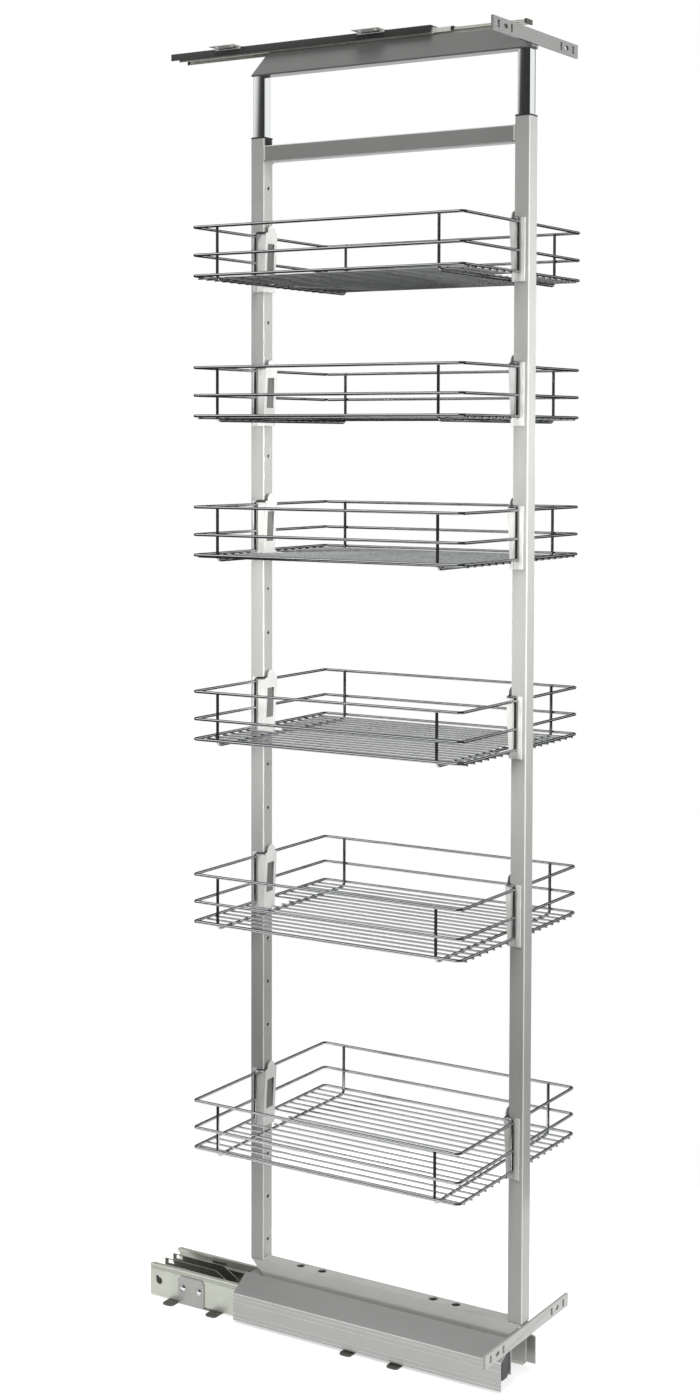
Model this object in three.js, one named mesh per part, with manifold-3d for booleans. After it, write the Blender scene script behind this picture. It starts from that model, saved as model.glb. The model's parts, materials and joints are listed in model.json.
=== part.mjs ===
// A pull-out larder unit for a tall kitchen cabinet, drawn partly pulled out.
// Six wire baskets hang between two square posts. The posts stand on a rail and an
// aluminium cover that run on a floor-mounted slide, and telescope up to a slide
// under the top of the cabinet.
//
// Millimetres, +Z up, +X to the right and the front of the unit at -Y.
// The origin is on the cabinet floor, midway between the two posts.

import * as THREE from 'three';
import { mergeVertices } from 'three/addons/utils/BufferGeometryUtils.js';
import Module from 'manifold-3d';

// Clearances
const seatGap = 0.3;              // between pieces that touch
const slideGap = 0.4;             // between sections that slide in each other
const weldDepth = 0.4;            // how far welded wires melt into each other
const over = 1;                   // how far a cutting tool passes the face it cuts

// Posts and the frame round the baskets
const postSize = 25;              // square tube
const postWall = 1.2;
const postSpacing = 468;          // between the middles of the two posts
const postTop = 1881;             // height above the cabinet floor
const holePitch = 70;             // the posts' row of holes
const holeDiameter = 5.6;
const firstHoleZ = 124;
const holeCount = 25;
const crossbarHeight = 25;
const crossbarBelowTop = 11.5;    // from the tops of the posts
const sheet = 2;                  // thickness of the two U rails
const bottomRailHeight = 27.6;
const accessHoleDiameter = 14;    // in the top of the bottom rail
const accessHoleY = [158, 117, -86.5, -126.7];
const topChannelWidth = 27;
const topChannelHeight = 32;
const topChannelRise = 97.3;      // underside above the tops of the posts

// Telescoping inner posts
const innerPostSize = 20;
const innerPostWall = 1.2;
const innerPostHidden = 141;      // length held inside the outer post
const glideCollar = 2.2;          // thickness above the post
const glideSkirt = 24;            // depth inside the post
const glideTabWidth = 18;         // fills a notch in the post's inner wall
const screwDiameter = 6;
const screwHeadDiameter = 11;
const screwHeadLength = 5;
const screwBelowTop = 31;         // under the top of the post

// Door brackets
const barLength = 266;
const barHeight = 20;
const barThickness = 4;
const bottomBarLift = 5.7;        // above the bottom rail's lower edge
const topBarLift = 5.2;           // above the top channel's underside
const barTongueWidth = 20;
const barTongueLength = 45;       // reaches back under the bottom rail's top
const barTongueThickness = 3;
const highTongueLength = 20;      // reaches back inside the top channel
const doorSlotWidth = 5.5;
const doorSlotLength = 11;
const doorSlotX = [117, 78];
const doorHoleX = 96;
const doorHoleWidth = 12;         // an oval, for setting the door sideways
const doorHoleHeight = 7;

// Baskets: three rings, two stirrups and a floor of straight wires
const wireDiameter = 4.5;
const floorWireDiameter = 3;
const basketWidth = 369.5;
const basketDepth = 469.5;
const ringCorner = 6;             // centre-line radius
const middleRingDrop = 41.7;
const lowRingDrop = 72.6;
const holeOfBasket = [23, 20, 17, 13, 9, 4];
const ringBelowHole = 6;
const hookHeight = 5;             // hook wire above the top ring
const hookHalfWidth = 14.5;
const hangerHalfSpacing = 19.5;   // upright wires beside the post
const stirrupY = 191;
const stirrupCorner = 9;
const floorPitch = 20.8;
const floorWiresPerSide = 8;
const shortFloorWires = 1;        // either side of the middle, ended at the stirrup
const shortWireEnd = 4;           // past the stirrup

// Plastic clips on the posts, heights from the basket's top ring
const clipTop = 17.5;
const clipBottom = -86.5;
const clipHalfWidth = 15.7;
const clipShoulder = 6;
const clipCrown = 10;             // half width and radius of the raised middle
const clipReachTop = 7;           // how far the front stands off the post
const clipReachBottom = 1.8;
const clipPlate = 1.6;            // front plate in front of the hook wire
const clipSide = 1.5;
const clipSideDepth = 19.5;       // how far the sides reach along the post
const clipRib = 7;
const clipHeel = 4.5;             // thick part of the side beside the front face
const pocketWidth = 18;
const pocketTop = -11;
const pocketBottom = -58;
const pocketFloor = 2;
const pegDiameter = 4.4;
const pegPast = 0.8;              // beyond the post's wall

// Runner cover, an aluminium extrusion that moves with the posts
const coverFront = -235;
const coverRear = 250;
const coverWall = 1.6;
const coverHalfWidth = 56.5;
const coverBottom = 5;
const coverShoulder = 48;
const ridgeHeight = 70.5;
const ridgeOuter = 22;
const ridgeInner = 19;
const grooveHalfWidth = 15;
const grooveFloor = 65.5;
const finX = 25;                  // outer face of the fin that carries the inner rail
const finWall = 1.6;
const finBottom = 19;
const coverRibs = [43, 36, 17, 10];
const ribHeight = 1.6;
const ribReach = 0.8;

// Runner fixed to the cabinet floor
const runnerRear = 428.5;
const runnerFront = -65;
const channelOuter = 40;
const channelWall = 1.5;
const channelTop = 55.3;
const channelLip = 6.5;
const channelLipDrop = 6;
const channelFoot = 14;
const footThickness = 2.5;
const footRear = { rear: 391, front: 284, ear: 21, reach: 60, flange: 345 };
const footFront = { rear: 44, front: -62, ear: 21, reach: 67, flange: -9 };
const flangeLength = 52;
const flangeHeight = 46;
const flangeWall = 1.5;
const flangeCorner = 5;
const rivetSpacing = 32;
const rivetHeight = 27;
const rivetRadius = 4;
const rivetDome = 1.8;
const punchY = 411;
const punchZ = 29;
const punchDiameter = 10;
const guideX = 11.7;              // outer face of the guide plates
const guideWall = 1.5;
const guideTop = 55.3;
const guideRear = 420;
const guideFront = 290;
const guideSlopeStart = 317;
const guideFrontTop = 40;
const guideSlot = { y: 407, z: 51, length: 13, height: 6 };
const middleRailLength = 475;
const middleRailRear = 333;
const middleRailBottom = 11;
const middleRailTop = 43;
const middleRailWall = 1.4;
const middleRailLip = 9;
const innerRailFront = -229.2;
const innerRailRear = 248;
const innerRailWall = 1.5;
const stopThickness = 4;
const stopBottom = 18;
const stopWidth = 24;
const catchY = 368;
const catchLength = 26;
const catchHeight = 11;
const catchReach = 7;
const catchWall = 1.6;

// Slide under the top of the cabinet
const topRailRear = 395;
const topRailFront = -85;
const topRailHalfWidth = 22.5;
const topRailSide = 10.5;         // height of the black rail's sides
const topRailWall = 1.5;
const racewayRear = 384;
const racewayHalfWidth = 15.5;
const racewayLift = 2;            // above the top channel's edges
const racewayHeight = 10.4;
const racewayWall = 1.2;
const racewayLip = 2.4;
const topMiddleLength = 376;
const topMiddleRear = 262;
const topMiddleWall = 1.2;
const topMiddleLip = 3;
const topInnerRear = 240;
const topInnerFront = -236;
const topInnerHeadHeight = 4;
const topInnerWall = 2;
const topInnerLeg = 9;            // half width over the legs under the head
const ballGroove = 1;             // depth and height of the groove in the head's sides
const endPlateHalfWidth = 10;
const endPlateDrop = 1.5;         // below the inner rail's head
const endPlateWall = 2;
const topStopLength = 5;
const topStopDrop = 6;
const topBracketThickness = 1.5;
const topBracketHalfWidth = 42;
const topBracketHook = 3.5;       // how far it grips the black rail's sides
const topBracketLength = 48;
const topBracketMiddles = [283, 19];

// Worked out from the sizes above
const postY = postSpacing / 2;
const postInnerFace = postY - postSize / 2;
const postOuterFace = postY + postSize / 2;
const postInside = postSize - 2 * postWall;
const bottomRailBottom = grooveFloor + seatGap;
const bottomRailTop = bottomRailBottom + bottomRailHeight;
const postFoot = bottomRailTop + seatGap;
const crossbarTop = postTop - crossbarBelowTop;
const crossbarBottom = crossbarTop - crossbarHeight;
const notchBottom = crossbarTop + seatGap;
const wireSide = wireDiameter * Math.sqrt(Math.PI) / 2;     // square wire of equal section
const ringX = (basketWidth - wireSide) / 2;
const ringY = (basketDepth - wireSide) / 2;
const lowRingZ = -lowRingDrop;
const floorWireSide = floorWireDiameter * Math.sqrt(Math.PI) / 2;
const wireMeeting = (wireSide + floorWireSide) / 2;         // middles of a thick and a thin wire that touch
const floorZ = lowRingZ - wireMeeting + weldDepth;
const stirrupZ = floorZ - wireMeeting - seatGap;
const shortWireZ = stirrupZ + wireMeeting - weldDepth;
const stirrupX = ringX - wireSide + weldDepth;
const hookY = postInnerFace - seatGap - wireSide / 2 - slideGap;
const clipSlotFloor = hookHeight - wireSide / 2 - seatGap;
const clipPlateInside = clipReachTop - clipPlate;
const pegZ = ringBelowHole - holePitch;
const pegTip = postInnerFace + postWall + pegPast;
const screwZ = postTop - screwBelowTop;
const bottomBarZ = bottomRailBottom + bottomBarLift;
const bottomBarBack = -postOuterFace - seatGap;
const topChannelBase = postTop + topChannelRise;
const topBarZ = topChannelBase + topBarLift;
const topChannelTip = postOuterFace;
const channelBottom = footThickness + seatGap;
const channelInside = channelOuter - channelWall;
const flangeInner = channelOuter + seatGap;
const flangeOuter = flangeInner + flangeWall;
const middleOuter = channelInside - slideGap;
const middleInner = middleOuter - middleRailWall;
const innerRailTop = middleRailTop - middleRailWall - slideGap;
const innerRailBottom = middleRailBottom + middleRailWall + slideGap;
const innerRailTip = middleInner - slideGap;
const innerRailBack = finX + seatGap;
const stopRear = innerRailFront - seatGap;
const racewayBottom = topChannelBase + topChannelHeight + racewayLift;
const racewayTop = racewayBottom + racewayHeight;
const topRailTop = racewayTop + seatGap + topRailWall;
const topRailBottom = topRailTop - topRailSide;
const topMiddleOuter = racewayHalfWidth - racewayWall - slideGap;
const topMiddleInside = topMiddleOuter - topMiddleWall;
const topMiddleBottom = racewayBottom + racewayWall + slideGap;
const topMiddleTop = racewayTop - racewayWall - slideGap;
const topInnerHead = topMiddleTop - topMiddleWall - slideGap;

// ---------------------------------------------------------------- shape helpers

const wasm = await Module();
wasm.setup();
const Manifold = wasm.Manifold;

const outline = (points) => new THREE.Shape(points.map(([a, b]) => new THREE.Vector2(a, b)));

const rectangle = (left, low, right, high) =>
  outline([[left, low], [right, low], [right, high], [left, high]]);

// A half section drawn on the +X side and closed by its mirror image.
const mirrored = (half) => outline([...half, ...half.map(([x, z]) => [-x, z]).reverse()]);

const extrude = (shape, depth, curveSegments = 6) =>
  new THREE.ExtrudeGeometry(shape, { depth, bevelEnabled: false, curveSegments });

// The first two numbers of a section's points are X and Y, Y and Z, or X and Z.
function alongZ(shape, low, high, curveSegments) {
  return extrude(shape, high - low, curveSegments).translate(0, 0, low);
}

function alongX(shape, left, right, curveSegments) {
  const turn = new THREE.Matrix4().makeBasis(
    new THREE.Vector3(0, 1, 0), new THREE.Vector3(0, 0, 1), new THREE.Vector3(1, 0, 0));
  return extrude(shape, right - left, curveSegments).applyMatrix4(turn).translate(left, 0, 0);
}

function alongY(shape, front, rear, curveSegments) {
  return extrude(shape, rear - front, curveSegments).rotateX(Math.PI / 2).translate(0, rear, 0);
}

function block(x1, x2, y1, y2, z1, z2) {
  const box = new THREE.BoxGeometry(x2 - x1, y2 - y1, z2 - z1);
  return box.translate((x1 + x2) / 2, (y1 + y2) / 2, (z1 + z2) / 2);
}

// A cylinder between two places on the line along one axis.
function rod(axis, radius, from, to, sides = 12) {
  const cylinder = new THREE.CylinderGeometry(radius, radius, to - from, sides);
  cylinder.translate(0, (from + to) / 2, 0);
  if (axis === 'x') cylinder.rotateZ(-Math.PI / 2);
  if (axis === 'z') cylinder.rotateX(Math.PI / 2);
  return cylinder;
}

function solid(geometry) {
  const bare = geometry.clone();
  bare.deleteAttribute('normal');
  bare.deleteAttribute('uv');
  const merged = mergeVertices(bare, 1e-4);
  const vertProperties = new Float32Array(merged.attributes.position.array);
  const triVerts = new Uint32Array(merged.index.array);
  return new Manifold(new wasm.Mesh({ numProp: 3, vertProperties, triVerts }));
}

function geometryOf(body) {
  const mesh = body.getMesh();
  const geometry = new THREE.BufferGeometry();
  geometry.setAttribute('position', new THREE.BufferAttribute(new Float32Array(mesh.vertProperties), 3));
  geometry.setIndex(new THREE.BufferAttribute(new Uint32Array(mesh.triVerts), 1));
  return geometry;
}

const fuse = (pieces) => pieces.map(solid).reduce((whole, piece) => whole.add(piece));

const cut = (body, tools) => tools.map(solid).reduce((rest, tool) => rest.subtract(tool), body);

// ---------------------------------------------------------------- the group

const unit = new THREE.Group();

const finish = {
  greyPaint: { color: '#9a9b98', roughness: 0.45, metalness: 0.3 },
  lightPaint: { color: '#b4b5b2', roughness: 0.4, metalness: 0.35 },
  zinc: { color: '#c5c8bd', roughness: 0.4, metalness: 0.8 },
  darkZinc: { color: '#6b6b66', roughness: 0.5, metalness: 0.7 },
  aluminium: { color: '#a9aaa8', roughness: 0.45, metalness: 0.8 },
  chrome: { color: '#d8d9da', roughness: 0.08, metalness: 1 },
  greyPlastic: { color: '#b6b6b4', roughness: 0.5, metalness: 0 },
  blackPlastic: { color: '#2b2b2b', roughness: 0.5, metalness: 0 },
  blackPaint: { color: '#3a3a3a', roughness: 0.5, metalness: 0.2 },
};

function addPiece(name, geometry, look) {
  const mesh = new THREE.Mesh(geometry, new THREE.MeshStandardMaterial(look));
  mesh.name = name;
  unit.add(mesh);
  return mesh;
}

const sides = [['left', -1], ['right', 1]];
const ends = [['rear', 1], ['front', -1]];

// Turns a piece modelled at the rear post to the front post.
const atEnd = (geometry, end) => (end < 0 ? geometry.rotateZ(Math.PI) : geometry);

// A section drawn on the +X side, mirrored for the -X side.
const onSide = (points, side) =>
  outline(side > 0 ? points : points.map(([x, z]) => [-x, z]).reverse());

// ---------------------------------------------------------------- posts and frame

// The screws are on the +X side of both posts, so the front one is cut at -X before its turn.
function postTube(end) {
  const half = postSize / 2;
  const bore = postInside / 2;
  const section = rectangle(-half, postY - half, half, postY + half);
  section.holes.push(rectangle(-bore, postY - bore, bore, postY + bore));
  const outside = postInnerFace - seatGap;
  const inside = postInnerFace + postWall + seatGap;
  const notch = glideTabWidth / 2 + seatGap;
  const screwRadius = screwDiameter / 2 + slideGap;
  const wallMiddle = end * (half - postWall / 2);
  const tools = [
    block(-notch, notch, outside, inside, notchBottom, postTop + seatGap),
    rod('x', screwRadius, wallMiddle - postWall, wallMiddle + postWall, 8).translate(0, postY, screwZ),
  ];
  for (let i = 0; i < holeCount; i += 1) {
    tools.push(rod('y', holeDiameter / 2, outside, inside, 6).translate(0, 0, firstHoleZ + i * holePitch));
  }
  return geometryOf(cut(solid(alongZ(section, postFoot, postTop)), tools));
}

// A black bush in the top of the post: a collar, a skirt and a tab that fills the notch.
function postGlide() {
  const half = postSize / 2 - seatGap;
  const skirt = postInside / 2 - seatGap;
  const bore = innerPostSize / 2 + seatGap;
  const low = postTop - glideSkirt;
  const collarLow = postTop + seatGap;
  const tab = glideTabWidth / 2;
  const body = fuse([
    block(-half, half, postY - half, postY + half, collarLow, collarLow + glideCollar),
    block(-skirt, skirt, postY - skirt, postY + skirt, low, collarLow + glideCollar),
    block(-tab, tab, postInnerFace, postY - bore, notchBottom + seatGap, collarLow + glideCollar),
  ]);
  const hole = block(-bore, bore, postY - bore, postY + bore, low - over, collarLow + glideCollar + over);
  return geometryOf(cut(body, [hole]));
}

function heightScrew() {
  const tip = innerPostSize / 2 + seatGap;
  const seat = postSize / 2 + seatGap;
  const shank = rod('x', screwDiameter / 2, tip, seat + over, 8);
  const head = rod('x', screwHeadDiameter / 2, seat, seat + screwHeadLength, 10);
  return geometryOf(fuse([shank, head])).translate(0, 0, screwZ);
}

function addPosts() {
  for (const [name, end] of ends) {
    addPiece(`${name}_post`, atEnd(postTube(end), end), finish.greyPaint);
    addPiece(`${name}_post_glide`, atEnd(postGlide(), end), finish.blackPlastic);
    addPiece(`height_screw_${name}`, heightScrew().translate(0, end * postY, 0), finish.zinc);
  }
}

function addCrossbar() {
  const half = postSize / 2;
  const section = rectangle(-half, crossbarBottom, half, crossbarTop);
  const bore = half - postWall;
  section.holes.push(rectangle(-bore, crossbarBottom + postWall, bore, crossbarTop - postWall));
  const end = postInnerFace - seatGap;
  addPiece('crossbar', alongY(section, -end, end), finish.greyPaint);
}

// A U-shaped rail with its ends cut at 45 degrees, widest at its closed side.
function uRail(halfWidth, height, tipY) {
  const sides2d = outline([
    [-tipY, 0], [tipY, 0], [tipY - height, height], [-tipY + height, height],
  ]);
  const inside = halfWidth - sheet;
  const bar = solid(alongX(sides2d, -halfWidth, halfWidth));
  return cut(bar, [block(-inside, inside, -tipY - over, tipY + over, sheet, height + over)]);
}

function addBottomRail() {
  const rail = geometryOf(uRail(postSize / 2, bottomRailHeight, postOuterFace));
  rail.rotateY(Math.PI).translate(0, 0, bottomRailTop);
  const hole = rod('z', accessHoleDiameter / 2, bottomRailTop - sheet - over, bottomRailTop + over, 10);
  const holes = accessHoleY.map((y) => hole.clone().translate(0, y, 0));
  addPiece('bottom_rail', geometryOf(cut(solid(rail), holes)), finish.lightPaint);
}

function addTopChannel() {
  const rail = geometryOf(uRail(topChannelWidth / 2, topChannelHeight, topChannelTip));
  addPiece('top_channel', rail.translate(0, 0, topChannelBase), finish.greyPaint);
}

function addInnerPosts() {
  const half = innerPostSize / 2;
  const bore = half - innerPostWall;
  for (const [name, end] of ends) {
    const y = end * postY;
    const section = rectangle(-half, y - half, half, y + half);
    section.holes.push(rectangle(-bore, y - bore, bore, y + bore));
    const tube = alongZ(section, postTop - innerPostHidden, topChannelBase - seatGap);
    addPiece(`inner_post_${name}`, tube, finish.chrome);
  }
}

// A flat bar across the front that the cabinet door is screwed to.
function doorBar(bottom) {
  const half = barLength / 2;
  const bar = solid(block(-half, half, 0, barThickness, 0, barHeight));
  const middle = barHeight / 2;
  const tools = [];
  for (const side of [-1, 1]) {
    for (const x of doorSlotX) {
      tools.push(block(
        side * x - doorSlotWidth / 2, side * x + doorSlotWidth / 2, -over, barThickness + over,
        middle - doorSlotLength / 2, middle + doorSlotLength / 2));
    }
    const oval = rod('y', doorHoleHeight / 2, -over, barThickness + over, 12);
    oval.scale(doorHoleWidth / doorHoleHeight, 1, 1).translate(side * doorHoleX, 0, middle);
    tools.push(oval);
  }
  return geometryOf(cut(bar, tools)).translate(0, bottomBarBack - barThickness, bottom);
}

// The bottom bar is held by a tongue under the bottom rail's top, and the top bar by a
// tongue that lies in the top channel.
function addDoorBrackets() {
  const half = barTongueWidth / 2;
  const front = bottomBarBack - barThickness;
  const tongueTop = bottomRailTop - sheet - seatGap;
  const lowTongue = block(
    -half, half, front, front + barTongueLength, tongueTop - barTongueThickness, tongueTop);
  const highTongue = block(
    -half, half, bottomBarBack - weldDepth, bottomBarBack + highTongueLength,
    topChannelBase + sheet + seatGap, topBarZ + weldDepth);
  addPiece('bottom_door_bracket', geometryOf(fuse([doorBar(bottomBarZ), lowTongue])), finish.lightPaint);
  addPiece('top_door_bracket', geometryOf(fuse([doorBar(topBarZ), highTongue])), finish.greyPaint);
}

// ---------------------------------------------------------------- baskets and clips

// Half of a ring, from the front post round one long side to the rear post.
function halfRing(side) {
  const half = wireSide / 2;
  const shape = new THREE.Shape();
  const cornerX = ringX - ringCorner;
  const cornerY = ringY - ringCorner;
  shape.moveTo(hangerHalfSpacing, -ringY - half);
  shape.absarc(cornerX, -cornerY, ringCorner + half, -Math.PI / 2, 0, false);
  shape.absarc(cornerX, cornerY, ringCorner + half, 0, Math.PI / 2, false);
  shape.lineTo(hangerHalfSpacing, ringY + half);
  shape.lineTo(hangerHalfSpacing, ringY - half);
  shape.absarc(cornerX, cornerY, ringCorner - half, Math.PI / 2, 0, true);
  shape.absarc(cornerX, -cornerY, ringCorner - half, 0, -Math.PI / 2, true);
  shape.lineTo(hangerHalfSpacing, -ringY + half);
  const ring = alongZ(shape, -half, half, 2);
  return side < 0 ? ring.rotateZ(Math.PI) : ring;
}

// The hook wire: from one upright, round the post's corners, across behind the clip's plate.
function hookLoop() {
  const half = wireSide / 2;
  const run = new THREE.Vector2(hangerHalfSpacing - hookHalfWidth, ringY - hookY);
  const mitre = half * (run.length() - run.x) / run.y;
  const outer = hookHalfWidth + mitre;
  const inner = hookHalfWidth - mitre;
  const shift = half * run.length() / run.y;
  return alongZ(outline([
    [-hangerHalfSpacing - shift, ringY], [-outer, hookY - half], [outer, hookY - half],
    [hangerHalfSpacing + shift, ringY], [hangerHalfSpacing - shift, ringY],
    [inner, hookY + half], [-inner, hookY + half], [-hangerHalfSpacing + shift, ringY],
  ]), hookHeight - half, hookHeight + half);
}

function endWires(end) {
  const half = wireSide / 2;
  const uprights = [-hangerHalfSpacing, hangerHalfSpacing].map((x) =>
    block(x - half, x + half, ringY - half, ringY + half, lowRingZ - half, hookHeight + half));
  return [hookLoop(), ...uprights].map((wire) => atEnd(wire, end));
}

// A U of wire down one long side, under the floor and up the other.
function stirrup(y) {
  const half = wireSide / 2;
  const shape = new THREE.Shape();
  const turnX = stirrupX - stirrupCorner;
  const turnZ = stirrupZ + stirrupCorner;
  shape.moveTo(-stirrupX - half, half);
  shape.absarc(-turnX, turnZ, stirrupCorner + half, Math.PI, Math.PI * 1.5, false);
  shape.absarc(turnX, turnZ, stirrupCorner + half, Math.PI * 1.5, Math.PI * 2, false);
  shape.lineTo(stirrupX + half, half);
  shape.lineTo(stirrupX - half, half);
  shape.absarc(turnX, turnZ, stirrupCorner - half, Math.PI * 2, Math.PI * 1.5, true);
  shape.absarc(-turnX, turnZ, stirrupCorner - half, Math.PI * 1.5, Math.PI, true);
  shape.lineTo(-stirrupX + half, half);
  return alongY(shape, y - half, y + half, 2);
}

// The long wires are welded under the low ring and clear the stirrups. The short ones
// beside the post are welded down onto the stirrups.
function floorWires() {
  const half = floorWireSide / 2;
  const wires = [];
  for (let i = -floorWiresPerSide; i <= floorWiresPerSide; i += 1) {
    const short = Math.abs(i) <= shortFloorWires;
    const x = i * floorPitch;
    const z = short ? shortWireZ : floorZ;
    const end = short ? stirrupY + shortWireEnd : ringY + wireSide / 2;
    wires.push(block(x - half, x + half, -end, end, z - half, z + half));
  }
  return wires;
}

function basket() {
  const wires = [...endWires(1), ...endWires(-1), ...floorWires()];
  wires.push(stirrup(stirrupY), stirrup(-stirrupY));
  for (const drop of [0, middleRingDrop, lowRingDrop]) {
    wires.push(halfRing(1).translate(0, 0, -drop), halfRing(-1).translate(0, 0, -drop));
  }
  return geometryOf(fuse(wires));
}

const ringZ = (index) => firstHoleZ + holeOfBasket[index] * holePitch - ringBelowHole;

function addBaskets() {
  const wirework = basket();
  holeOfBasket.forEach((hole, index) => {
    const copy = wirework.clone().translate(0, 0, ringZ(index));
    addPiece(`basket_${index + 1}`, copy, finish.chrome);
  });
}

// The clip's outline from the front: square shoulders and a round-topped crown.
function clipFace() {
  const shape = new THREE.Shape();
  shape.moveTo(-clipHalfWidth, clipBottom);
  shape.lineTo(clipHalfWidth, clipBottom);
  shape.lineTo(clipHalfWidth, clipShoulder);
  shape.lineTo(clipCrown, clipShoulder);
  shape.absarc(0, clipTop - clipCrown, clipCrown, 0, Math.PI, false);
  shape.lineTo(-clipCrown, clipShoulder);
  shape.lineTo(-clipHalfWidth, clipShoulder);
  return shape;
}

// The body tapers towards its foot and has an open slot behind its plate for the hook wire.
function clipBody() {
  const back = postInnerFace - seatGap;
  const taper = outline([
    [back, clipBottom], [back, clipTop],
    [postInnerFace - clipReachTop, clipTop], [postInnerFace - clipReachBottom, clipBottom],
  ]);
  const wedge = solid(alongX(taper, -clipHalfWidth - over, clipHalfWidth + over));
  const face = solid(alongY(clipFace(), postInnerFace - clipReachTop - over, postInnerFace));
  return wedge.intersect(face);
}

// One side of the clip from above: a thick heel at the front and a rib at the back.
function clipSideSection(side) {
  const inside = postSize / 2 + seatGap;
  const thin = inside + clipSide;
  const front = postInnerFace - seatGap - weldDepth;
  const rear = postInnerFace + clipSideDepth;
  const half = [
    [inside, front], [clipHalfWidth, front], [clipHalfWidth, postInnerFace + clipHeel],
    [thin, postInnerFace + clipHeel], [thin, rear - clipRib], [clipHalfWidth, rear - clipRib],
    [clipHalfWidth, rear], [inside, rear],
  ];
  return onSide(half, side);
}

function clip() {
  const inside = postSize / 2 + seatGap;
  const front = postInnerFace - clipPlateInside;
  const rear = postInnerFace + clipSideDepth;
  const pieces = [
    rod('y', pegDiameter / 2, postInnerFace - over, pegTip, 6).translate(0, 0, pegZ),
  ];
  for (const side of [-1, 1]) {
    const [near, far] = side > 0 ? [inside, clipHalfWidth] : [-clipHalfWidth, -inside];
    pieces.push(alongZ(clipSideSection(side), clipBottom, clipSlotFloor));
    pieces.push(block(near, far, rear - clipRib, rear, clipSlotFloor - weldDepth, clipShoulder));
  }
  const wide = clipHalfWidth + over;
  const half = pocketWidth / 2;
  const body = cut(clipBody(), [
    block(-wide, wide, front, postInnerFace + over, clipSlotFloor, clipTop + over),
    block(-half, half, front - clipReachTop, postInnerFace - pocketFloor, pocketBottom, pocketTop),
  ]);
  return geometryOf(body.add(fuse(pieces)));
}

function addClips() {
  const shape = clip();
  holeOfBasket.forEach((hole, index) => {
    for (const [name, end] of ends) {
      const copy = atEnd(shape.clone(), end).translate(0, 0, ringZ(index));
      addPiece(`clip_${name}_${index + 1}`, copy, finish.greyPlastic);
    }
  });
}

// ---------------------------------------------------------------- moving part of the bottom runner

const coverSlope = (ridgeHeight - coverShoulder) / (coverHalfWidth - ridgeOuter);
const coverDrop = coverWall * Math.hypot(1, coverSlope);
const underSlope = (x) => coverShoulder + (coverHalfWidth - x) * coverSlope - coverDrop;

function addRunnerCover() {
  const inside = coverHalfWidth - coverWall;
  const half = [
    [grooveHalfWidth, grooveFloor], [ridgeInner, ridgeHeight], [ridgeOuter, ridgeHeight],
    [coverHalfWidth, coverShoulder],
  ];
  for (const z of coverRibs) {
    half.push([coverHalfWidth, z], [coverHalfWidth + ribReach, z - ribHeight / 4]);
    half.push([coverHalfWidth + ribReach, z - ribHeight * 3 / 4], [coverHalfWidth, z - ribHeight]);
  }
  half.push(
    [coverHalfWidth, coverBottom], [inside, coverBottom], [inside, underSlope(inside)],
    [finX, underSlope(finX)], [finX, finBottom], [finX - finWall, finBottom],
    [finX - finWall, underSlope(finX - finWall)],
    [ridgeInner + seatGap, ridgeHeight - coverWall], [grooveHalfWidth + seatGap, grooveFloor - coverWall],
  );
  addPiece('runner_cover', alongY(mirrored(half), coverFront, coverRear), finish.aluminium);
}

// A C section, open towards the middle of the runner.
const channelSection = (outer, inner, low, high, wall, lip) => [
  [outer, low], [outer, high], [outer - lip, high], [outer - lip, high - wall],
  [inner, high - wall], [inner, low + wall], [outer - lip, low + wall], [outer - lip, low],
];

function addInnerRails() {
  const inner = innerRailBack + innerRailWall;
  const half = [
    [innerRailBack, innerRailBottom], [innerRailTip, innerRailBottom],
    [innerRailTip, innerRailBottom + innerRailWall], [inner, innerRailBottom + innerRailWall],
    [inner, innerRailTop - innerRailWall], [innerRailTip, innerRailTop - innerRailWall],
    [innerRailTip, innerRailTop], [innerRailBack, innerRailTop],
  ];
  for (const [name, side] of sides) {
    const rail = alongY(onSide(half, side), innerRailFront, innerRailRear);
    addPiece(`inner_rail_${name}`, rail, finish.zinc);
  }
}

// A black block across the front of the left bay, which meets the fixed channel when closed.
function addRunnerStop() {
  const inner = innerRailBack;
  const outer = inner + stopWidth;
  const chamfer = stopWidth / 3;
  const half = [
    [inner, stopBottom + chamfer], [inner + chamfer, stopBottom], [outer, stopBottom],
    [outer, underSlope(outer) - seatGap], [inner, underSlope(inner) - seatGap],
  ];
  const stop = alongY(onSide(half, -1), stopRear - stopThickness, stopRear);
  addPiece('runner_stop', stop, finish.blackPlastic);
}

// ---------------------------------------------------------------- fixed part of the bottom runner

function addBaseChannels() {
  const lip = channelOuter - channelLip;
  const half = [
    [channelOuter, channelBottom], [channelOuter, channelTop], [lip, channelTop],
    [lip, channelTop - channelLipDrop], [lip + channelWall, channelTop - channelLipDrop],
    [lip + channelWall, channelTop - channelWall], [channelInside, channelTop - channelWall],
    [channelInside, channelBottom + channelWall], [channelOuter - channelFoot, channelBottom + channelWall],
    [channelOuter - channelFoot, channelBottom],
  ];
  for (const [name, side] of sides) {
    const bar = solid(alongY(onSide(half, side), runnerFront, runnerRear));
    const wall = side * (channelOuter - channelWall / 2);
    const punch = rod('x', punchDiameter / 2, wall - channelWall, wall + channelWall, 8);
    const channel = cut(bar, [punch.translate(0, punchY, punchZ)]);
    addPiece(`base_channel_${name}`, geometryOf(channel), finish.zinc);
  }
}

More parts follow.
